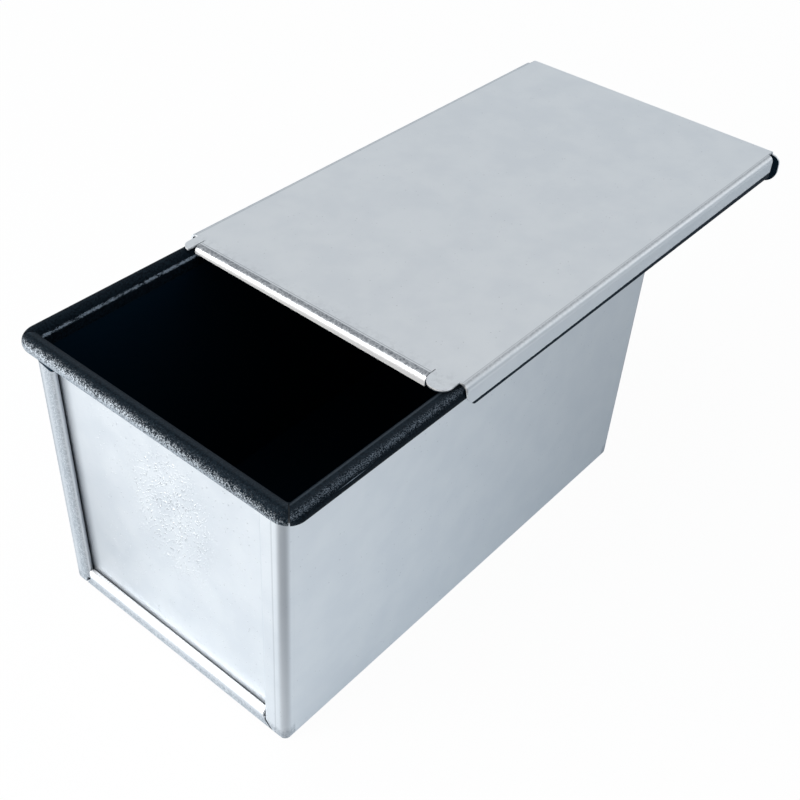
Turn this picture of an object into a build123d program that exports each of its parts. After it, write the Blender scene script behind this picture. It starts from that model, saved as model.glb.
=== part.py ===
from build123d import *
import math
import os

# Pullman loaf pan with a sliding lid, folded from coated sheet steel.
# X runs along the loaf, Y across it, Z up; the origin is the centre of the underside.
# The near end is at -X and the lid is drawn off towards +X.

# Mouth and height of the pan
inner_length = 185.5
inner_width = 106.0
height = 110.0
end_draft = 0.5
side_draft = 0.9
sheet = 0.8
corner_radius = 2.4

# Rolled rim and the wire inside it
wire_diameter = 4.8
wire_fit = 0.02
rim_corner_radius = 3.6
rim_lap_gap = 0.12
mitre_gap = 0.3

# Folded seams that hold the end panels; left is +Y and right is -Y
seam_width = 8.8
seam_left_width = 8.1
seam_right_width = 9.6
seam_fit = 0.06
seam_top_gap = 1.4
seam_corner_gap = 0.4
side_seam_low = 4.8
corner_cut_foot = 4.6

# Lid
lid_length = 208.4
lid_open = 63.55
lid_seat = 0.8
lid_side_play = 0.4
lid_bend_radius = 2.4
flange_height = 10.2
hook_width = 5.0
hook_bend_radius = 1.6
flange_near_setback = 5.0
flange_far_setback = 5.2
flange_near_radius = 8.6
flange_far_radius = 2.0
lip_left_drop = 2.8
lip_right_drop = 3.9
lip_bend_radius = 2.2
lip_left_inset = 7.4
lip_right_inset = 12.7
lip_slit = 0.3
tongue_reach = 2.7
tongue_setback = 1.0
tongue_left_share = 0.95
tongue_right_share = 0.49
grip_drop = 14.8
grip_bend_radius = 2.0
grip_flare = 8.0
grip_bend_inset = 2.6
grip_ear = 0.9
grip_low_radius = 7.0
grip_high_radius = 3.3

# How far a cut runs past what it cuts
overrun = 10.0

# Worked out from the sizes above
rim_radius = wire_diameter / 2 + wire_fit + sheet
wall_top = height - rim_radius
seam_top = height - 2 * rim_radius - seam_top_gap
fold_radius = (3 * sheet + 2 * seam_fit) / 2
hook_outer = sheet + seam_fit
hook_inner = 2 * sheet + seam_fit
panel_outer = 3 * (sheet + seam_fit)
panel_inner = panel_outer + sheet
end_lean = end_draft / wall_top
side_lean = side_draft / wall_top
top_half_length = inner_length / 2 + panel_inner
top_half_width = inner_width / 2 + sheet

lid_under = height + lid_seat
lid_top = lid_under + sheet
lid_half_width = inner_width / 2 + 2 * rim_radius + lid_side_play + sheet
lid_near = lid_open - inner_length / 2
lid_far = lid_near + lid_length


def half_length(z):
    return top_half_length - end_lean * (wall_top - z)


def half_width(z):
    return top_half_width - side_lean * (wall_top - z)


def block(x_low, x_high, y_low, y_high, z_low, z_high):
    """Box given by its limits along each axis."""
    size = (x_high - x_low, y_high - y_low, z_high - z_low)
    middle = ((x_high + x_low) / 2, (y_high + y_low) / 2, (z_high + z_low) / 2)
    return Pos(*middle) * Box(*size)


def wedge(plane, half_span, inset):
    """Long bar whose two sides lean out with the walls, inset from their outer faces."""
    corners = [
        (side * (half_span(z) - inset), z)
        for side, z in ((-1, inset), (1, inset), (1, wall_top), (-1, wall_top))
    ]
    outline = make_face(Polyline(*corners, close=True))
    return extrude(plane * outline, amount=top_half_length + overrun, both=True)


def vessel(inset):
    """Tapered block that lies inset from the pan's outer faces, with its bends rounded."""
    body = wedge(Plane.XZ, half_length, inset) & wedge(Plane.YZ, half_width, inset)
    rounded = body.edges() - body.edges().group_by(Axis.Z)[-1]
    return fillet(rounded, corner_radius - inset)


def end_slab(near_depth, far_depth):
    """Slab across the near end, between two depths behind its outer face."""
    corners = [
        (depth - half_length(z), z)
        for depth, z in (
            (near_depth, -overrun),
            (far_depth, -overrun),
            (far_depth, height + overrun),
            (near_depth, height + overrun),
        )
    ]
    outline = make_face(Polyline(*corners, close=True))
    return extrude(Plane.XZ * outline, amount=top_half_width + overrun, both=True)


def side_width(side):
    """Width of the seam along one side of either end."""
    return seam_left_width if side > 0 else seam_right_width


def end_window():
    """Opening inside the three seams of both ends, as one tapered bar along the pan."""
    low, high = seam_width - fold_radius, height + overrun
    corners = [
        (side * (half_width(z) - side_width(side) + fold_radius), z)
        for side, z in ((-1, low), (1, low), (1, high), (-1, high))
    ]
    outline = make_face(Polyline(*corners, close=True))
    return extrude(Plane.YZ * outline, amount=top_half_length + overrun, both=True)


def seam_fold(width, place):
    """Section of the trough's edge where it turns back on itself, from the seam's outer corner."""
    back = 2 * fold_radius
    fold_line = width - fold_radius
    outer = ThreePointArc(
        place(0, fold_line),
        place(fold_radius, fold_line + fold_radius),
        place(back, fold_line),
    )
    leg = Polyline(
        place(back, fold_line),
        place(back, corner_radius),
        place(back - sheet, corner_radius),
        place(back - sheet, fold_line),
    )
    inner = ThreePointArc(
        place(back - sheet, fold_line),
        place(fold_radius, width - sheet),
        place(sheet, fold_line),
    )
    edge = Line(place(sheet, fold_line), place(0, fold_line))
    return make_face(outer + leg + inner + edge)


def side_seam(width):
    """Turned-back edge of the near end's seam at -Y, leaning out with the wall."""
    start = side_seam_low
    slope = Vector(-end_lean, -side_lean, 1)
    foot = Plane(
        origin=(-half_length(start), -half_width(start), start),
        x_dir=(1, 0, end_lean),
        z_dir=slope,
    )
    section = seam_fold(width, lambda u, v: (u, v))
    return extrude(foot * section, amount=(seam_top - start) * slope.length)


def bottom_seam():
    """Turned-back edge of the near end's seam along the underside."""
    section = seam_fold(seam_width, lambda u, v: (u - half_length(v), v))
    whole = 2 * half_width(seam_width) - seam_left_width - seam_right_width - 2 * seam_corner_gap
    seam = extrude(Plane.XZ * section, amount=whole)
    return Pos(0, half_width(seam_width) - seam_left_width - seam_corner_gap, 0) * seam


def corner_notch(width):
    """Cut at the near end's lower corner at -Y, where the sheet is notched to fold both ways."""
    fold_line = width - fold_radius
    far = width + seam_corner_gap
    outline = Polyline(
        (fold_line, seam_width),
        (far, seam_width),
        (far, side_seam_low + seam_corner_gap),
        (corner_cut_foot + seam_corner_gap, 0),
        (corner_cut_foot + seam_corner_gap, -overrun),
        (corner_cut_foot, -overrun),
        (corner_cut_foot, 0),
        (fold_line, side_seam_low),
        close=True,
    )
    cut = extrude(Plane.YZ * make_face(outline), amount=top_half_length + overrun, both=True)
    return Pos(0, -half_width(0), 0) * cut & end_slab(-overrun, panel_outer)


def curl_section(reach):
    """Section of a rolled rim whose wall has its inner face at -reach."""
    ring = Circle(rim_radius) - Circle(rim_radius - sheet)
    gap = Pos(rim_radius, -rim_radius) * Rectangle(
        2 * (sheet + rim_lap_gap), 2 * rim_radius
    )
    return Plane.YZ * Pos(-reach - rim_radius, wall_top) * (ring - gap)


def rim_straight(half_span):
    """Distance from the middle of a side to where its rim begins to turn the corner."""
    return half_span + rim_radius - rim_corner_radius


def curl(reach, half_span):
    """Rolled rim along X at -Y, ending in half of each rounded corner."""
    straight = rim_straight(half_span)
    turn = 45 - math.degrees(mitre_gap / 2 / rim_corner_radius)
    section = curl_section(reach)
    rim = extrude(section, amount=straight, both=True)
    for side in (-1, 1):
        pivot = (side * straight, rim_corner_radius - reach - rim_radius, 0)
        bend = revolve(Pos(side * straight, 0, 0) * section, Axis(pivot, (0, 0, side)), turn)
        rim += bend
    return rim


def trough():
    """One sheet: underside, both long walls with their rims, and the edges folded round the ends."""
    notches = corner_notch(seam_right_width) + mirror(corner_notch(seam_left_width), Plane.XZ)
    body = vessel(0) - vessel(sheet) - end_window() - notches - mirror(notches, Plane.YZ)
    wide = top_half_width + overrun
    for side in (-1, 1):
        above = sorted((side * rim_straight(inner_length / 2), side * (top_half_length + overrun)))
        body -= block(*above, -wide, wide, seam_top, height + overrun)
    seams = side_seam(seam_right_width) + bottom_seam()
    seams += mirror(side_seam(seam_left_width), Plane.XZ)
    body += seams
    body += mirror(seams, Plane.YZ)
    rim = curl(inner_width / 2, inner_length / 2)
    body += rim
    body += mirror(rim, Plane.XZ)
    return body


def end_panel():
    """Near end: a plate whose edges hook into the seams, with its own rolled rim."""
    hooks = (vessel(hook_outer) - vessel(hook_inner)) & end_slab(-overrun, panel_inner)
    hooks -= end_window()
    wide = top_half_width + overrun
    hooks -= block(-top_half_length - overrun, 0, -wide, wide, seam_top, height + overrun)
    plate = vessel(hook_outer) & end_slab(panel_outer, panel_inner)
    for side in (-1, 1):
        hook_half = half_width(0) - side_width(side) - 2 * seam_corner_gap
        low_corner = sorted((side * hook_half, side * wide))
        corner_top = seam_width + seam_corner_gap
        hooks -= block(-top_half_length - overrun, 0, *low_corner, -overrun, corner_top)
        high_corner = sorted((side * rim_straight(inner_width / 2), side * wide))
        plate -= block(-top_half_length - overrun, 0, *high_corner, seam_top, height + overrun)
    rim = Rot(0, 0, -90) * curl(inner_length / 2, inner_width / 2)
    return plate + hooks + rim


def rim_wire():
    """Steel wire bent to one closed loop, which stiffens the mouth inside the rolled rims."""
    long = inner_length + 2 * rim_radius
    wide = inner_width + 2 * rim_radius
    loop = RectangleRounded(long, wide, rim_corner_radius)
    path = (Pos(0, 0, wall_top) * loop).wire()
    section = Plane(origin=path @ 0, z_dir=path % 0) * Circle(wire_diameter / 2)
    return sweep(section, path=path)


def lid_section(inset):
    """Outline across the lid, drawn in from its outer faces by inset."""
    wide = 2 * (lid_half_width - inset)
    tall = flange_height - 2 * inset
    outline = Pos(0, lid_top - flange_height / 2) * Rectangle(wide, tall)
    corners = outline.vertices().group_by(Axis.Y)
    outline = fillet(corners[-1], lid_bend_radius - inset)
    low = outline.vertices().group_by(Axis.Y)[0]
    return fillet(low, hook_bend_radius - inset)


def lid_channels():
    """Top of the lid with both side flanges and the hooks that run under the rims."""
    slot_half = lid_half_width - hook_width
    slot_top = lid_top - flange_height + hook_bend_radius
    slot = Pos(0, slot_top - flange_height / 2) * Rectangle(2 * slot_half, flange_height)
    section = lid_section(0) - lid_section(sheet) - slot
    start = lid_near + flange_near_setback
    end = lid_far - flange_far_setback
    body = extrude(Plane.YZ * section, amount=end - start)
    side = Pos((end - start) / 2, lid_top - flange_height / 2) * Rectangle(end - start, flange_height)
    side = fillet(side.vertices().group_by(Axis.Y)[0].sort_by(Axis.X)[0], flange_near_radius)
    side = fillet(side.vertices().group_by(Axis.Y)[0].sort_by(Axis.X)[-1], flange_far_radius)
    trim = extrude(Plane.XZ * side, amount=lid_half_width + overrun, both=True)
    return Pos(start, 0, 0) * (body & trim)


def lip_end(side):
    """Distance from the middle of the lid to the near lip's end on one side."""
    return lid_half_width - (lip_left_inset if side > 0 else lip_right_inset)


def lid_tongue(side, end):
    """Outline of the short strip beside the lip, with its rounded near end."""
    inner = lip_end(side) + lip_slit
    outer = lid_half_width - lid_bend_radius - tongue_setback
    wide = outer - inner
    tip = lid_near - tongue_reach
    outline = Pos((tip + end) / 2, (inner + outer) / 2) * Rectangle(end - tip, wide)
    corners = outline.vertices().group_by(Axis.X)[0].sort_by(Axis.Y)
    if side > 0:
        return fillet(corners[-1], tongue_left_share * wide)
    return mirror(fillet(corners, tongue_right_share * wide), Plane.XZ)


def lid_plate():
    """Flat top between the bends, with a tongue beside each end of the near lip."""
    bend = lid_near + lip_bend_radius
    start = lid_near + flange_near_setback
    end = lid_far - grip_bend_radius
    middle = (lip_end(1) - lip_end(-1)) / 2
    outline = Pos((bend + end) / 2, middle) * Rectangle(end - bend, lip_end(1) + lip_end(-1))
    wide = 2 * (lid_half_width - lid_bend_radius)
    outline += Pos((start + end) / 2, 0) * Rectangle(end - start, wide)
    for side in (-1, 1):
        outline += lid_tongue(side, start + overrun)
    return extrude(Pos(0, 0, lid_under) * outline, amount=sheet)


def turned_edge(radius, turn, run):
    """Section of a sheet edge bent down: its bend begins at 0,0 on the top face and runs to +x."""
    angle = math.radians(turn)

    def on_bend(bend_radius, share):
        at = share * angle
        return (bend_radius * math.sin(at), bend_radius * math.cos(at) - radius)

    along = (run * math.cos(angle), -run * math.sin(angle))
    outer, inner = radius, radius - sheet
    outer_end = on_bend(outer, 1)
    inner_end = on_bend(inner, 1)
    outer_tip = (outer_end[0] + along[0], outer_end[1] + along[1])
    inner_tip = (inner_end[0] + along[0], inner_end[1] + along[1])
    outline = ThreePointArc(on_bend(outer, 0), on_bend(outer, 1 / 2), outer_end)
    if run > 0:
        outline += Polyline(outer_end, outer_tip, inner_tip, inner_end)
    else:
        outline += Line(outer_end, inner_end)
    outline += ThreePointArc(inner_end, on_bend(inner, 1 / 2), on_bend(inner, 0))
    outline += Line(on_bend(inner, 0), on_bend(outer, 0))
    return make_face(outline)


def lid_lip():
    """Lip turned down at the near end, deeper at -Y, which stops inside either end rim."""
    section = turned_edge(lip_bend_radius, 90, lip_right_drop - lip_bend_radius)
    lip = extrude(Plane.XZ * section, amount=lip_end(1) + lip_end(-1))
    lip = Pos(lid_near + lip_bend_radius, lip_end(1), lid_top) * mirror(lip, Plane.YZ)
    corners = [
        (lip_end(1), lid_top - lip_left_drop),
        (-lip_end(-1), lid_top - lip_right_drop),
        (-lip_end(-1), lid_top + overrun),
        (lip_end(1), lid_top + overrun),
    ]
    outline = make_face(Polyline(*corners, close=True))
    return lip & extrude(Plane.YZ * outline, amount=lid_length, both=True)


def lid_grip():
    """Taller flared lip at the far end, with rounded ears, by which the lid is drawn."""
    turn = 90 - grip_flare
    angle = math.radians(turn)
    section = turned_edge(grip_bend_radius, turn, 0)
    start = Pos(lid_far - grip_bend_radius, 0, lid_top)
    bend = start * extrude(Plane.XZ * section, amount=lid_half_width - grip_bend_inset, both=True)
    fall = grip_bend_radius * (1 - math.cos(angle))
    run = (grip_drop - fall) / math.sin(angle)
    wide = 2 * (lid_half_width + grip_ear)
    outline = Pos(0, -run / 2) * Rectangle(wide, run)
    outline = fillet(outline.vertices().group_by(Axis.Y)[0], grip_low_radius)
    outline = fillet(outline.vertices().group_by(Axis.Y)[-1], grip_high_radius)
    face = Plane(
        origin=(lid_far - grip_bend_radius * (1 - math.sin(angle)), 0, lid_top - fall),
        x_dir=(0, 1, 0),
        z_dir=(math.sin(angle), 0, math.cos(angle)),
    )
    return bend + extrude(face * outline, amount=-sheet)


def lid():
    """One sheet that slides along the long rims."""
    return lid_channels() + lid_plate() + lid_lip() + lid_grip()


def write(part, name):
    export_step(part, os.path.join("parts", name + ".step"))
    print(name, len(part.solids()), "solids", round(part.volume, 1), "mm3", part.is_valid)


os.makedirs("parts", exist_ok=True)
near_panel = end_panel()
write(trough(), "trough")
write(near_panel, "near_end_panel")
write(mirror(near_panel, Plane.YZ), "far_end_panel")
write(rim_wire(), "rim_wire")
write(lid(), "lid")
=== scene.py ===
import math

import bpy
from mathutils import Matrix, Vector


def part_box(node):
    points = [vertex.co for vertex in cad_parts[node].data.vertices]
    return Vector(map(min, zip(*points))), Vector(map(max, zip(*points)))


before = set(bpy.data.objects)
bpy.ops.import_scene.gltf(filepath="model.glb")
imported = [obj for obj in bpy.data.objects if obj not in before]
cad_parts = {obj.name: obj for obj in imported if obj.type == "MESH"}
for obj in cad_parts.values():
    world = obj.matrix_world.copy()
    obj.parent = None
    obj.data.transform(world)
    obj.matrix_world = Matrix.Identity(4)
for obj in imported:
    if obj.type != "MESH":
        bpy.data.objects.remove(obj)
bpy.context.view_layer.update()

# One millimetre, in the scene's metres
MM = 0.001

# Camera, at the photograph's viewing angle
CAMERA_PLACE = (-256.1 * MM, -215.2 * MM, 338.3 * MM)
CAMERA_HEADING = 37.83
CAMERA_FALL = 40.02
CAMERA_ROLL = 3.72
CAMERA_LENS = 54.31
CAMERA_SENSOR = 36.0
CAMERA_CLIP = (10 * MM, 20.0)

# The pan, in part worked out from the frame
SHEET = 0.8 * MM
ROLL_GAP = 0.02 * MM
trough_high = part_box("trough")[1]
panel_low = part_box("near_end_panel")[0]
wire_low, wire_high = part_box("rim_wire")
PAN_HEIGHT = trough_high[2]
RIM_RADIUS = (wire_high[2] - wire_low[2]) / 2 + SHEET + ROLL_GAP
WALL_TOP = PAN_HEIGHT - RIM_RADIUS
RIM_LOW = PAN_HEIGHT - 2 * RIM_RADIUS
RIM_REACH = -panel_low[0] - RIM_RADIUS
RIM_ASIDE = trough_high[1] - RIM_RADIUS
SEAM_DEPTH = 2.58 * MM
SEAM_LEFT = 8.1 * MM
SEAM_RIGHT = 9.6 * MM
SEAM_LOW = 8.8 * MM
TOP_LENGTH = RIM_REACH - RIM_RADIUS + SEAM_DEPTH + SHEET
TOP_WIDTH = trough_high[1] - 2 * RIM_RADIUS + SHEET
WALL_BEND = 2.4 * MM

# Slopes of the walls, which lean out by this much over their height
END_LEAN = 0.5 * MM / WALL_TOP
SIDE_LEAN = 0.9 * MM / WALL_TOP

# The lid, in part worked out from the frame
EAR = 0.9 * MM
TONGUE = 2.7 * MM
lid_low, lid_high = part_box("lid")
LID_TOP = lid_high[2]
LID_HALF = lid_high[1] - EAR
LID_NEAR = lid_low[0] + TONGUE
LID_FAR = 179.2 * MM
LID_BEND = 2.4 * MM
LIP_BEND = 2.2 * MM
LIP_LEFT = LID_HALF - 7.4 * MM
LIP_RIGHT = LID_HALF - 12.7 * MM
FLANGE_LOW = LID_TOP - 10.2 * MM
GRIP_LEAN = math.tan(math.radians(8))
GRIP_REACH = 4 * MM
GRIP_BEND = 1.7 * MM

# A little less than the sheet's thickness, so that a border lies inside the sheet
SKIN = SHEET * 0.9

# Colours of the sheet and its coating; the worn, shade and grain colours also paint highlights,
# shade and sheen
STEEL = (0.79, 0.812, 0.83)
STEEL_DULL = (0.75, 0.775, 0.80)
STEEL_WORN_AND_LIT = (0.95, 0.96, 0.97)
STEEL_SEAM = (0.42, 0.45, 0.48)
STEEL_RIM = (0.43, 0.475, 0.52)
SHADE = (0.10, 0.11, 0.13)
COATING = (0.002, 0.012, 0.023)
COATING_DARK = (0.001, 0.003, 0.006)
COATING_RIM = (0.007, 0.014, 0.021)
PALE_GRAIN_AND_SHEEN = (0.40, 0.47, 0.55)
WIRE_DARK = (0.04, 0.042, 0.045)
WIRE_PALE = (0.09, 0.092, 0.095)

# Gloss of the sheet
STEEL_METALLIC = 0.94
SHEET_SPECULAR = 0.06
SHEET_SPECULAR_TINT = (0.86, 0.94, 1.0, 1.0)

# Slanting directions across a rolled rim: shares outwards and upwards
OUTER_SLANT = (0.816, -0.578)
INNER_SLANT = (-0.30, -0.954)

# Floor: its colour in daylight, and how much of its white it shows to each kind of ray
FLOOR_REACH = 4.0
FLOOR_COLOUR = (0.86, 0.87, 0.88, 1.0)
FLOOR_SEEN = 0.965
FLOOR_MIRRORED = 0.56
FLOOR_MIRRORED_TINT = (0.88, 0.94, 1.0)
WHITE = (1.0, 1.0, 1.0)

# World: it goes from the first to the second value towards its brighter side
BRIGHT_WAY = (0.55, 0.55, 0.63)
WORLD_SPAN = (-0.3, 0.95)
WORLD_LEVEL = (0.41, 0.755)
WORLD_TINT = ((0.78, 0.89, 1.0), (0.94, 0.97, 1.0))

# Lamps: name, place, size, power in watts and colour
LAMP_AIM = (0.03, 0, 0.05)
LAMPS = (
    ("key", (-1.215, 0.516, 0.50), (1.0, 0.9), 24, (1.0, 0.965, 0.93)),
    ("edge", (1.1, -0.75, 0.60), (0.5, 0.4), 0.8, WHITE),
)


def camera():
    """Camera with the photograph's place, direction and lens."""
    data = bpy.data.cameras.new("camera")
    data.lens = CAMERA_LENS
    data.sensor_width = CAMERA_SENSOR
    data.clip_start, data.clip_end = CAMERA_CLIP
    heading, fall, roll = (math.radians(v) for v in (CAMERA_HEADING, CAMERA_FALL, CAMERA_ROLL))
    ahead = Vector(
        (math.cos(fall) * math.cos(heading), math.cos(fall) * math.sin(heading), -math.sin(fall))
    )
    level = ahead.cross(Vector((0, 0, 1))).normalized()
    upright = level.cross(ahead)
    right = math.cos(roll) * level + math.sin(roll) * upright
    up = math.cos(roll) * upright - math.sin(roll) * level
    matrix = Matrix((right, up, -ahead)).transposed().to_4x4()
    matrix.translation = Vector(CAMERA_PLACE)
    eye = bpy.data.objects.new("camera", data)
    eye.matrix_world = matrix
    bpy.context.scene.collection.objects.link(eye)
    bpy.context.scene.camera = eye


class Field:
    """A number or colour that varies over a surface, built up from shader nodes."""

    def __init__(self, tree, socket):
        self.tree = tree
        self.socket = socket

    def join(self, operation, other=None):
        node = self.tree.nodes.new("ShaderNodeMath")
        node.operation = operation
        for slot, value in enumerate((self, other)):
            if isinstance(value, Field):
                self.tree.links.new(value.socket, node.inputs[slot])
            elif value is not None:
                node.inputs[slot].default_value = value
        return Field(self.tree, node.outputs[0])

    def __add__(self, other):
        return self.join("ADD", other)

    def __sub__(self, other):
        return self.join("SUBTRACT", other)

    def __mul__(self, other):
        return self.join("MULTIPLY", other)

    def size(self):
        return self.join("ABSOLUTE")

    def least(self, other):
        return self.join("MINIMUM", other)

    def most(self, other):
        return self.join("MAXIMUM", other)

    def power(self, other):
        return self.join("POWER", other)

    def below(self, other):
        return self.join("LESS_THAN", other)

    def above(self, other):
        return self.join("GREATER_THAN", other)

    def inverse(self):
        return (self * -1) + 1

    def ramp(self, start, end, low=0.0, high=1.0):
        """Goes smoothly from low to high as this field goes from start to end."""
        node = self.tree.nodes.new("ShaderNodeMapRange")
        node.interpolation_type = "SMOOTHSTEP"
        self.tree.links.new(self.socket, node.inputs["Value"])
        ends = {"From Min": start, "From Max": end, "To Min": low, "To Max": high}
        for name, value in ends.items():
            node.inputs[name].default_value = value
        return Field(self.tree, node.outputs["Result"])

    def blend(self, first, second):
        """Colour that goes from first to second as this field goes from 0 to 1."""
        node = self.tree.nodes.new("ShaderNodeMix")
        node.data_type = "RGBA"
        self.tree.links.new(self.socket, node.inputs["Factor"])
        ends = [s for s in node.inputs if s.type == "RGBA"]
        for socket, colour in zip(ends, (first, second)):
            if isinstance(colour, Field):
                self.tree.links.new(colour.socket, socket)
            else:
                socket.default_value = (*colour, 1.0)
        return Field(self.tree, next(s for s in node.outputs if s.type == "RGBA"))


class Surface:
    """A material in the making, with its place fields and its shader."""

    def __init__(self, name):
        self.material = bpy.data.materials.new(name)
        self.material.use_nodes = True
        self.tree = self.material.node_tree
        self.shader = self.tree.nodes["Principled BSDF"]
        place = self.tree.nodes.new("ShaderNodeTexCoord")
        self.place = place.outputs["Object"]
        split = self.tree.nodes.new("ShaderNodeSeparateXYZ")
        self.tree.links.new(self.place, split.inputs[0])
        self.x, self.y, self.z = (Field(self.tree, split.outputs[i]) for i in range(3))

    def texture(self, kind, grain, seed, stretch):
        """Texture node with features about grain across; a stretch below 1 makes them longer."""
        scale = self.tree.nodes.new("ShaderNodeMapping")
        scale.inputs["Scale"].default_value = [v / grain for v in stretch]
        scale.inputs["Location"].default_value = (seed, seed, seed)
        self.tree.links.new(self.place, scale.inputs["Vector"])
        node = self.tree.nodes.new(kind)
        node.inputs["Scale"].default_value = 1.0
        self.tree.links.new(scale.outputs[0], node.inputs["Vector"])
        return node

    def noise(self, grain, detail=2.0, rough=0.5, seed=0.0, stretch=(1, 1, 1)):
        """Soft noise whose lumps are about grain across."""
        node = self.texture("ShaderNodeTexNoise", grain, seed, stretch)
        node.inputs["Detail"].default_value = detail
        node.inputs["Roughness"].default_value = rough
        return Field(self.tree, node.outputs["Fac"])

    def cells(self, grain, seed=0.0, stretch=(1, 1, 1)):
        """Distance from scattered points that lie about grain apart, in grains."""
        node = self.texture("ShaderNodeTexVoronoi", grain, seed, stretch)
        return Field(self.tree, node.outputs["Distance"])

    def grains(self, grain, seed=0.0, stretch=(1, 1, 1)):
        """Random number from 0 to 1 for each of many grains that are about grain across."""
        node = self.texture("ShaderNodeTexVoronoi", grain, seed, stretch)
        split = self.tree.nodes.new("ShaderNodeSeparateColor")
        self.tree.links.new(node.outputs["Color"], split.inputs[0])
        return Field(self.tree, split.outputs[0])

    def bump(self, height, depth, under=None):
        """Surface relief: height is a field from 0 to 1 and depth is its size in metres."""
        node = self.tree.nodes.new("ShaderNodeBump")
        node.inputs["Strength"].default_value = 1.0
        node.inputs["Distance"].default_value = depth
        self.tree.links.new(height.socket, node.inputs["Height"])
        if under is not None:
            self.tree.links.new(under, node.inputs["Normal"])
        return node.outputs["Normal"]

    def wire(self, name, value):
        """Gives a shader input a field, or sets it to a plain value."""
        if isinstance(value, Field):
            self.tree.links.new(value.socket, self.shader.inputs[name])
        else:
            self.shader.inputs[name].default_value = value


def beyond(first, second):
    """Distance outwards past two faces that meet in a rounded corner, from its centre line."""
    a, b = first.most(0.0), second.most(0.0)
    corner = (a * a + b * b).power(0.5)
    return corner + first.most(second).least(0.0)


def band(field, middle, half):
    """Share that is 1 in the middle of a band and falls to 0 at its borders."""
    return (field - middle).size().ramp(0.0, half, 1.0, 0.0)


def across_rim(s, out, slant):
    """How far a point on a rolled rim lies along a slanting direction from the rim's middle."""
    return out * slant[0] + (s.z - WALL_TOP) * slant[1]


def end_depth(s):
    """Depth inwards from the outer faces of the trough's ends."""
    return ((s.z - WALL_TOP) * END_LEAN + TOP_LENGTH) - s.x.size()


def past_side(s, inset):
    """Distance outwards past a line that lies inset from the outer faces of the long walls."""
    return s.y.size() - ((s.z - WALL_TOP) * SIDE_LEAN) - (TOP_WIDTH - inset)


def sheet_metal(name, coated, grains_and_highlights=None, shaded=None, seamed=None, pitted=None, worn_and_lit=None):
    """Coated steel sheet.

    The functions give shares from 0 to 1: coated for the black coating, the grains function for
    pale grains in it and for painted sheen and highlights on the rims, shaded for painted shade on
    the bare steel, seamed for its rough folds, pitted for pits, and the brightening one for bare
    cut edges and painted highlights.
    """
    s = Surface(name)
    cover = coated(s)
    mottle = s.noise(13 * MM, 3.0, 0.55)
    steel = mottle.ramp(0.3, 0.7).blend(STEEL_DULL, STEEL)
    rough = mottle.ramp(0.3, 0.7, 0.40, 0.44)
    scatter = s.noise(8 * MM, 2.0, 0.6, seed=8.1).ramp(0.45, 0.60)
    dots = s.cells(2.3 * MM, seed=2.7).ramp(0.06, 0.13, 0.26, 0.0)
    steel = (dots * scatter).blend(steel, SHADE)
    relief = s.bump(s.noise(0.5 * MM, 2.0, 0.7), 0.012 * MM)
    if seamed is not None:
        fold = seamed(s)
        scale = s.noise(0.7 * MM, 3.0, 0.75, seed=2.2)
        steel = (fold * scale.ramp(0.36, 0.60, 0.25, 1.0)).blend(steel, STEEL_SEAM)
        relief = s.bump(scale * fold, 0.10 * MM, relief)
    metal = cover.ramp(0.2, 0.8, STEEL_METALLIC, 0.0)
    # Bare cut edges, and painted highlights on the trough's lower folds and the lid's lip and side
    # bends
    if worn_and_lit is not None:
        bright = worn_and_lit(s)
        steel = bright.blend(steel, STEEL_WORN_AND_LIT)
        metal = metal * bright.ramp(0.0, 1.0, 1.0, 0.5)
    # Painted shade on the bare steel, with some real dark specks
    if shaded is not None:
        steel = shaded(s).blend(steel, SHADE)
    if pitted is not None:
        pits = pitted(s)
        steel = pits.ramp(0.3, 0.9, 0.0, 0.26).blend(steel, SHADE)
        relief = s.bump(pits, 0.24 * MM, relief)
    black = COATING
    if grains_and_highlights is not None:
        rim = s.z.above(RIM_LOW)
        steel = rim.blend(steel, STEEL_RIM)
        rough = rough + rim * 0.20
        fleck = s.noise(0.6 * MM, 3.0, 0.75, seed=3.1)
        up = s.z.ramp(RIM_LOW - 0.5 * MM, RIM_LOW)
        black = up.blend(COATING, fleck.ramp(0.38, 0.62).blend(COATING_DARK, COATING_RIM))
        # Pale grains in the rim coating, and painted sheen and highlights on the rims
        black = grains_and_highlights(s).blend(black, PALE_GRAIN_AND_SHEEN)
        relief = s.bump(fleck * up, 0.09 * MM, relief)
    wave = s.bump(s.noise(60 * MM, 1.0, 0.3), 0.16 * MM, relief)
    s.wire("Base Color", cover.blend(steel, black))
    s.wire("Metallic", metal)
    s.wire("Roughness", rough + cover * 0.12)
    s.wire("Specular IOR Level", SHEET_SPECULAR)
    s.wire("Specular Tint", SHEET_SPECULAR_TINT)
    s.tree.links.new(wave, s.shader.inputs["Normal"])
    return s.material


# Each function below gives a share from 0 to 1 at a place in the pan's frame. Left is +Y and right
# is -Y, as seen from the near end. The widths and strengths were set against the photograph.


def trough_coated(s):
    """Coating on the trough: its inside, all of its rims, and as painted shadow the gaps at the top
    of the left folds.
    """
    depth = end_depth(s)
    foot = (s.z * -1) + WALL_BEND
    wall_depth = beyond(past_side(s, WALL_BEND), foot) * -1 + WALL_BEND
    inside = wall_depth.above(SKIN).least(depth.above(SEAM_DEPTH))
    # Painted shadow: the gaps between the tops of the left folds and the rim are made black as
    # coating
    slant = (s.y - TOP_WIDTH).most(-SEAM_LEFT) * 0.2
    gap_shadow = (s.z - slant).above(RIM_LOW - 2.4 * MM).least(depth.below(SEAM_DEPTH))
    gap_shadow = gap_shadow.least(s.y.above(TOP_WIDTH - SEAM_LEFT - 0.2 * MM))
    return inside.most(s.z.above(RIM_LOW)).most(gap_shadow)


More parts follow.
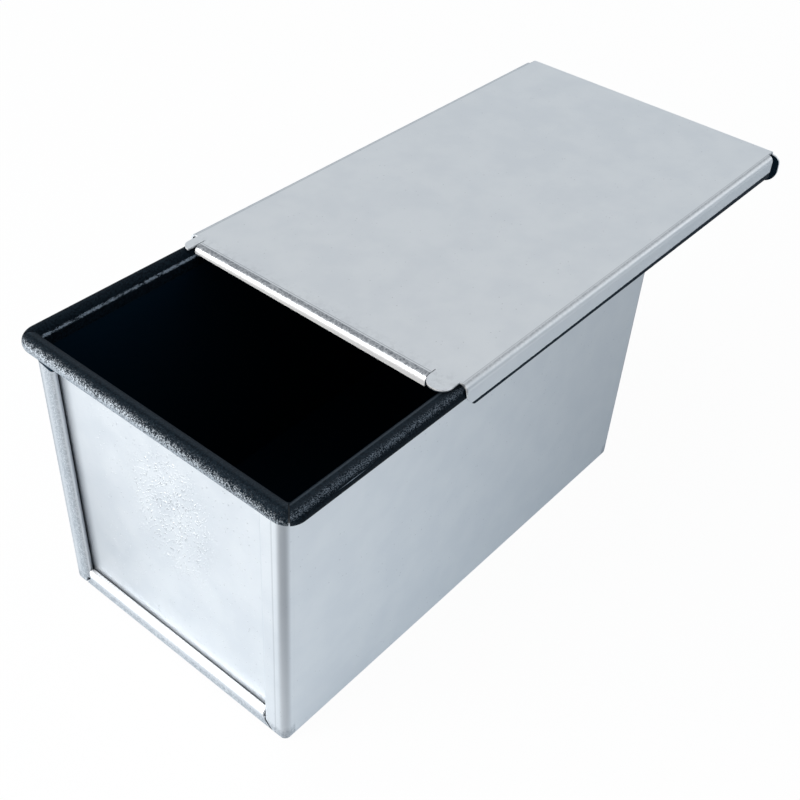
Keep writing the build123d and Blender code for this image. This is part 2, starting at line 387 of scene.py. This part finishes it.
def trough_grains_and_highlights(s):
    """Pale grains on the long rims, placed as painted highlights: a bright line inside the left
    one, a scatter on the right.
    """
    out = s.y.size() - RIM_ASIDE
    pick = s.grains(0.19 * MM, seed=6.1)
    # Painted highlight: a grainy bright line along the inner side of the left rim
    line = band(across_rim(s, out, INNER_SLANT), 0.0, 1.0 * MM) * out.below(0.0)
    broken = s.noise(5 * MM, 3.0, 0.6, seed=7.1).ramp(0.38, 0.60, 0.35, 1.05)
    left = (line * broken - pick).ramp(0.0, 0.3).least(s.y.above(0.0))
    across = across_rim(s, out, OUTER_SLANT)
    # Painted glints: pale grains in a band across the right rim
    broad = (band(across, 0.2 * MM, 2.3 * MM) * 0.75 - pick).ramp(0.0, 0.75, 0.0, 0.45)
    # Painted sheen along the inner side of the right rim; the scratch below is a real mark
    sheen = band(across, -2.7 * MM, 0.5 * MM) * 0.07
    sheen = sheen.most(band(across, -1.2 * MM, 1.6 * MM) * 0.025)
    scratch = band(across, 1.95 * MM, 0.10 * MM) * band(s.x, -74 * MM, 7 * MM)
    right = broad.most(sheen).most(scratch).least(s.y.below(0.0))
    return left.most(right) * s.z.above(RIM_LOW)


def trough_seamed(s):
    """Rough folds at both ends of the trough: left ones, lowest edges and right corners."""
    aside = ((s.z - WALL_TOP) * SIDE_LEAN) + TOP_WIDTH - s.y
    left = aside.ramp(2.6 * MM, 5.0 * MM, 0.2, 1.0)
    left = left.least(aside.ramp(7.6 * MM, 8.0 * MM, 1.0, 0.1)) * s.y.above(0.0)
    low = s.z.ramp(3.6 * MM, 6.8 * MM, 0.9, 0.0)
    from_corner = (s.y + (TOP_WIDTH - 1.2 * MM)).size()
    corner = s.z.ramp(2 * MM, 9 * MM) + from_corner.ramp(0.0, 4 * MM)
    corner = corner.ramp(0.3, 1.0, 0.8, 0.04)
    return left.most(low).most(corner) * end_depth(s).below(SEAM_DEPTH + 2 * MM)


def trough_painted_highlight(s):
    """Painted highlight on the upper part of the fold along the underside of both ends."""
    # Painted highlight: the upper face of the lower fold is made bright
    strip = s.z.ramp(5.8 * MM, 7.0 * MM).least(s.z.below(SEAM_LOW))
    left = s.y.below(TOP_WIDTH - SEAM_LEFT - 1 * MM)
    inner = left.least(s.y.above(SEAM_RIGHT + 1 * MM - TOP_WIDTH))
    return strip.least(inner).least(end_depth(s).below(SEAM_DEPTH))


def trough_shaded(s):
    """Painted shade on the trough: foot, far end, under the rims, bends and folds; dark specks on
    low folds.
    """
    aside = past_side(s, 1.2 * MM)
    ahead = s.x.size() - ((s.z - WALL_TOP) * END_LEAN) - (TOP_LENGTH - 1.0 * MM)
    at_end = ahead.above(-1.6 * MM)
    # Painted shade along the foot and growing towards the far end
    foot = s.z.ramp(0.0, 3 * MM, 0.20, 0.0).most(s.x.ramp(-70 * MM, 95 * MM, 0.0, 0.15))
    # Painted shade under the rims
    under = s.z.ramp(RIM_LOW - 1.6 * MM, RIM_LOW, 0.0, 0.22)
    # Painted shade in the corner bends
    bend = aside.ramp(-2.2 * MM, 0.2 * MM).least(ahead.ramp(-2.4 * MM, 0.0))
    bend = bend * s.z.ramp(5 * MM, 80 * MM, 0.36, 0.58)
    # Painted shade across the left folds
    fold = band(aside, -6.2 * MM, 2.2 * MM) * 0.22
    fold = fold.most(aside.ramp(-0.9 * MM, 0.8 * MM, 0.0, 0.42))
    fold = fold.least(s.y.above(0.0)).least(ahead.above(-2 * MM))
    specks = s.cells(1.0 * MM, seed=6.4).ramp(0.16, 0.30, 0.5, 0.0)
    specks = specks * s.noise(3 * MM, 2.0, 0.6, seed=5.5).ramp(0.48, 0.58)
    specks = specks * s.z.ramp(4 * MM, 8 * MM, 1.0, 0.4)
    specks = specks.least(at_end).least(s.z.below(SEAM_LOW))
    lines = band(aside, -3.2 * MM, 0.5 * MM) * 0.22
    lines = lines.most(band(aside, -8.0 * MM, 0.5 * MM) * 0.40)
    lines = lines.most(aside.ramp(-3.2 * MM, -1.6 * MM, 0.0, 0.05))
    lines = lines.least(s.y.below(0.0)).least(at_end)
    return foot.most(under).most(bend).most(fold).most(specks).most(lines)


def panel_coated(s):
    """Coating on an end panel: its inside, and its rim breaking up in grains on the outer side."""
    inside = end_depth(s).above(SEAM_DEPTH + SHEET / 2)
    turn = across_rim(s, s.x.size() - RIM_REACH, OUTER_SLANT)
    along = ((s.y * (-1 / (2 * RIM_ASIDE))) + 0.5).most(0.0).power(2.2)
    border = (along * (1.3 * MM)) + 0.6 * MM
    drift = s.noise(9 * MM, 2.0, 0.5, seed=1.3)
    depth = border - turn + (drift - 0.5) * (1.2 * MM)
    streak = s.grains(0.21 * MM, seed=7.7, stretch=(1, 1, 0.5))
    blotch = s.noise(0.9 * MM, 2.0, 0.6, seed=4.9)
    chance = depth.ramp(-3.2 * MM, 2.4 * MM) + (blotch - 0.5) * 0.4
    haze = depth.ramp(-1.9 * MM, 1.3 * MM, 0.0, 0.62)
    sprayed = (chance - streak * 0.8).ramp(-0.42, 0.20).most(haze)
    return inside.most(sprayed.least(s.z.above(RIM_LOW - 0.1 * MM)))


def panel_sheen_and_grains(s):
    """Painted sheen on an end rim along its inner edge, with fine grains."""
    turn = across_rim(s, s.x.size() - RIM_REACH, OUTER_SLANT)
    fine = s.noise(0.35 * MM, 2.0, 0.8, seed=2.4).ramp(0.5, 0.75, 0.6, 1.5)
    # Painted sheen along the inner edge of the rim
    sheen = band(turn, -2.7 * MM, 1.6 * MM) * 0.075
    sheen = sheen.most(band(turn, -0.3 * MM, 2.0 * MM) * 0.012)
    dust = s.grains(0.22 * MM, seed=3.3).ramp(0.80, 1.0, 0.0, 0.10)
    dust = dust * band(turn, 0.4 * MM, 2.6 * MM)
    return (sheen * fine).most(dust) * s.z.above(WALL_TOP - 2 * MM)


def panel_shaded(s):
    """Painted shade on an end panel: along its seams, in a thin line under its rim and towards its
    left.
    """
    lean = (s.z - WALL_TOP) * SIDE_LEAN
    left = (lean + (TOP_WIDTH - SEAM_LEFT)) - s.y
    right = (lean + (TOP_WIDTH - SEAM_RIGHT)) + s.y
    low = s.z - SEAM_LOW
    # Painted shadow along the seams, near black under the left fold's edge
    near = left.ramp(-0.3 * MM, 5.5 * MM, 0.50, 0.0)
    near = near.most(low.ramp(-0.3 * MM, 3.2 * MM, 0.45, 0.0))
    near = near.most(right.ramp(-0.3 * MM, 1.6 * MM, 0.12, 0.0))
    near = near.most(left.ramp(-0.9 * MM, -0.4 * MM, 0.97, 0.0))
    # Painted shadow line under the rim
    line = band(s.z, RIM_LOW - 0.75 * MM, 0.25 * MM) * 0.35
    # Painted shade towards the left
    patch = s.y.ramp(-4 * MM, 46 * MM, 0.0, 0.21) * s.z.ramp(30 * MM, 95 * MM, 1.0, 0.1)
    return near.most(line) + patch


def panel_pitted(s):
    """Short scratches in the middle of an end panel, with scattered pits around them."""
    across = (s.y + 3 * MM) * (1 / (24 * MM))
    along = (s.z - 68 * MM) * (1 / (34 * MM))
    patch = (across * across + along * along).ramp(1.0, 0.0)
    ticks = s.cells(0.55 * MM, seed=4.4, stretch=(1, 1, 0.42)).ramp(0.50, 0.22)
    pick = s.noise(1.8 * MM, 2.0, 0.6, seed=9.0).ramp(0.45, 0.55)
    dots = s.cells(1.8 * MM, seed=8.8).ramp(0.15, 0.08)
    wide = ((s.y + 8 * MM) * (1 / (45 * MM))).power(2.0).ramp(1.0, 0.3)
    return (ticks * pick * patch).most(dots * wide)


def lid_coated(s):
    """Coating on the lid: all that faces down or inwards, and a line of spray below its flanges."""
    aside = s.y.size() - (LID_HALF - LID_BEND)
    inner = (beyond(aside, s.z - (LID_TOP - LID_BEND)) * -1 + LID_BEND).above(SKIN)
    ahead = (s.x * -1) + (LID_NEAR + LIP_BEND)
    lip = (beyond(ahead, s.z - (LID_TOP - LIP_BEND)) * -1 + LIP_BEND).above(SKIN)
    beside_lip = s.y.above(LIP_LEFT).most(s.y.below(-LIP_RIGHT))
    beside_lip = beside_lip.most(s.x.above(LID_NEAR + 2 * LIP_BEND))
    grip_face = (s.z * -GRIP_LEAN) + (LID_FAR + (LID_TOP - GRIP_BEND) * GRIP_LEAN)
    grip_inside = (grip_face - s.x).above(SKIN).least(s.z.below(LID_TOP - SKIN))
    at_grip = s.x.above(LID_FAR - GRIP_REACH)
    ragged = s.noise(1.2 * MM, 2.0, 0.6, seed=5.2).ramp(0.3, 0.7, -0.07 * MM, 0.07 * MM)
    border = s.x.ramp(0.0, 170 * MM, FLANGE_LOW + 2.5 * MM, FLANGE_LOW + 3.4 * MM) + ragged
    spray = (border - s.z).above(0.0)
    sheet_inside = inner.least(beside_lip.most(lip)).most(spray).least(at_grip.inverse())
    return sheet_inside.most(grip_inside.least(at_grip))


def lid_shaded(s):
    """Painted shade on the lid along its bends, flanges and near cut edges; blotches near its near
    edge.
    """
    patchy_shade = s.noise(0.8 * MM, 3.0, 0.75, seed=1.9).ramp(0.35, 0.65, 0.40, 0.85)
    # Painted shade: a thin line and a patchy band where the lip bends
    lip = band(s.x, LID_NEAR + 3.1 * MM, 0.26 * MM) * 0.50
    lip = lip.most(band(s.x, LID_NEAR + 1.45 * MM, 1.35 * MM).ramp(0.0, 0.35) * patchy_shade)
    lip = lip.least(s.y.below(LIP_LEFT)).least(s.y.above(-LIP_RIGHT))
    bend = LID_HALF - LID_BEND
    # Painted shade where the sides bend
    side = band(s.y.size(), bend - 0.1 * MM, 0.3 * MM) * 0.30
    side = side.most(band(s.y.size(), bend + 0.7 * MM, 0.8 * MM) * patchy_shade * 0.55)
    top = s.z.above(LID_TOP - 0.75 * MM)
    # Darker in blotches towards the near edge
    blotchy = s.noise(2.2 * MM, 3.0, 0.7, seed=6.6).ramp(0.45, 0.62)
    near = s.x.ramp(LID_NEAR + 3 * MM, LID_NEAR + 9 * MM, 0.10, 0.0) * blotchy
    # Painted shade on the flanges
    flange = s.z.ramp(LID_TOP - 2.6 * MM, LID_TOP - 1.8 * MM, 0.09, 0.0)
    # Painted shade on the lower half of the near cut edges
    cut = s.z.below(LID_TOP - 0.42 * MM).least(s.z.above(LID_TOP - SHEET))
    cut = cut.least(s.x.below(LID_FAR - GRIP_REACH)).least(s.y.size().below(bend))
    cut = cut.least(s.y.above(LIP_LEFT).most(s.y.below(-LIP_RIGHT)))
    return lip.most(side).least(top).most(near).most(flange).most(cut * 0.8)


def lid_worn_and_highlights(s):
    """Painted highlights on the lid's lip and side bends, and on the bare cut edges of plate and
    flanges.
    """
    aside = s.y.size() - (LID_HALF - LID_BEND)
    beside_lip = s.y.above(LIP_LEFT).most(s.y.below(-LIP_RIGHT))
    beside_lip = beside_lip.least(s.x.below(LID_FAR - GRIP_REACH))
    # Bare cut edges, partly painted highlight
    plate = s.z.above(LID_TOP - 0.74 * MM).least(s.z.below(LID_TOP - 0.04 * MM))
    plate = plate.least(aside.below(0.0)).least(beside_lip)
    flange = aside.above(LID_BEND - 0.74 * MM).least(aside.below(LID_BEND - 0.04 * MM))
    flange = flange.least(s.z.below(LID_TOP - LID_BEND)).least(s.z.above(FLANGE_LOW + 2.4 * MM))
    chipped = s.noise(0.8 * MM, 2.0, 0.6, seed=4.7).ramp(0.36, 0.46)
    # Painted light on the lower part of the lip
    lip = s.x.below(LID_NEAR + 1.2 * MM).least(s.z.below(LID_TOP - 0.9 * MM))
    lip = lip.least(s.z.above(FLANGE_LOW)).least(aside.below(0.0))
    # Painted highlight along the side bends
    broken = s.noise(2.5 * MM, 3.0, 0.65, seed=3.6).ramp(0.38, 0.60, 0.15, 0.80)
    bend = band(aside, 1.5 * MM, 0.8 * MM) * broken * s.z.above(LID_TOP - LID_BEND)
    return (plate.most(flange) * chipped).most(lip).most(bend)


def wire_steel():
    """Drawn steel of the rim wire."""
    s = Surface("drawn_wire")
    streak = s.noise(0.4 * MM, 2.0, 0.5, stretch=(0.05, 0.05, 1))
    s.wire("Base Color", streak.blend(WIRE_DARK, WIRE_PALE))
    s.wire("Metallic", 1.0)
    s.wire("Roughness", streak.ramp(0.3, 0.7, 0.3, 0.45))
    s.tree.links.new(s.bump(streak, 0.02 * MM), s.shader.inputs["Normal"])
    return s.material


def dress(node, material):
    """Gives a carried-over node its material."""
    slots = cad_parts[node].data.materials
    slots.clear()
    slots.append(material)


def studio_floor():
    """Pale floor. It is white to the camera, and partly so to the rays that metal reflects."""
    reach = FLOOR_REACH
    mesh = bpy.data.meshes.new("floor")
    corners = [(-reach, -reach, 0), (reach, -reach, 0), (reach, reach, 0), (-reach, reach, 0)]
    mesh.from_pydata(corners, [], [(0, 1, 2, 3)])
    floor = bpy.data.objects.new("floor", mesh)
    bpy.context.scene.collection.objects.link(floor)
    s = Surface("floor_white")
    s.wire("Base Color", FLOOR_COLOUR)
    s.wire("Roughness", 0.9)
    s.wire("Specular IOR Level", 0.0)
    paths = s.tree.nodes.new("ShaderNodeLightPath")
    seen = Field(s.tree, paths.outputs["Is Camera Ray"])
    glossy = Field(s.tree, paths.outputs["Is Glossy Ray"])
    through = Field(s.tree, paths.outputs["Is Transmission Ray"])
    # Painted reflection: the floor glows to reflected rays only towards the pan's near end, so the
    # long wall reflects brighter there
    mirrored = s.x.ramp(-0.12, 0.30, FLOOR_MIRRORED, 0.0)
    share = (seen * FLOOR_SEEN).most(glossy * mirrored).most(through * FLOOR_SEEN)
    glow = s.tree.nodes.new("ShaderNodeEmission")
    s.tree.links.new(seen.blend(FLOOR_MIRRORED_TINT, WHITE).socket, glow.inputs["Color"])
    glow.inputs["Strength"].default_value = 1.0
    mix = s.tree.nodes.new("ShaderNodeMixShader")
    s.tree.links.new(share.socket, mix.inputs[0])
    s.tree.links.new(s.shader.outputs[0], mix.inputs[1])
    s.tree.links.new(glow.outputs[0], mix.inputs[2])
    s.tree.links.new(mix.outputs[0], s.tree.nodes["Material Output"].inputs["Surface"])
    mesh.materials.append(s.material)


def studio_world():
    """White to the camera; to everything else a soft sky with one side brighter and warmer."""
    world = bpy.data.worlds.new("studio")
    bpy.context.scene.world = world
    world.use_nodes = True
    tree = world.node_tree
    tree.nodes.clear()
    paths = tree.nodes.new("ShaderNodeLightPath")
    place = tree.nodes.new("ShaderNodeTexCoord")
    side = tree.nodes.new("ShaderNodeVectorMath")
    side.operation = "DOT_PRODUCT"
    side.inputs[1].default_value = BRIGHT_WAY
    tree.links.new(place.outputs["Generated"], side.inputs[0])
    turned = Field(tree, side.outputs["Value"])
    lit = tree.nodes.new("ShaderNodeBackground")
    tree.links.new(turned.ramp(*WORLD_SPAN).blend(*WORLD_TINT).socket, lit.inputs["Color"])
    tree.links.new(turned.ramp(*WORLD_SPAN, *WORLD_LEVEL).socket, lit.inputs["Strength"])
    white = tree.nodes.new("ShaderNodeBackground")
    white.inputs["Color"].default_value = (*WHITE, 1.0)
    white.inputs["Strength"].default_value = 1.0
    mix = tree.nodes.new("ShaderNodeMixShader")
    out = tree.nodes.new("ShaderNodeOutputWorld")
    tree.links.new(paths.outputs["Is Camera Ray"], mix.inputs[0])
    tree.links.new(lit.outputs[0], mix.inputs[1])
    tree.links.new(white.outputs[0], mix.inputs[2])
    tree.links.new(mix.outputs[0], out.inputs["Surface"])


def lamp(name, place, size, power, colour):
    """Soft rectangular lamp at place, facing the pan."""
    data = bpy.data.lights.new(name, "AREA")
    data.shape = "RECTANGLE"
    data.size, data.size_y = size
    data.energy = power
    data.color = colour
    soft = bpy.data.objects.new(name, data)
    ahead = Vector(LAMP_AIM) - Vector(place)
    soft.rotation_euler = ahead.to_track_quat("-Z", "Y").to_euler()
    soft.location = place
    bpy.context.scene.collection.objects.link(soft)


camera()
studio_floor()
studio_world()
for settings in LAMPS:
    lamp(*settings)

end_sheet = sheet_metal(
    "sheet_end", panel_coated, grains_and_highlights=panel_sheen_and_grains, shaded=panel_shaded, pitted=panel_pitted
)
trough_sheet = sheet_metal(
    "sheet_trough",
    trough_coated,
    grains_and_highlights=trough_grains_and_highlights,
    shaded=trough_shaded,
    seamed=trough_seamed,
    worn_and_lit=trough_painted_highlight,
)
dress("trough", trough_sheet)
dress("near_end_panel", end_sheet)
dress("far_end_panel", end_sheet)
dress("rim_wire", wire_steel())
dress("lid", sheet_metal("sheet_lid", lid_coated, shaded=lid_shaded, worn_and_lit=lid_worn_and_highlights))

bpy.context.scene.view_settings.view_transform = "Standard"
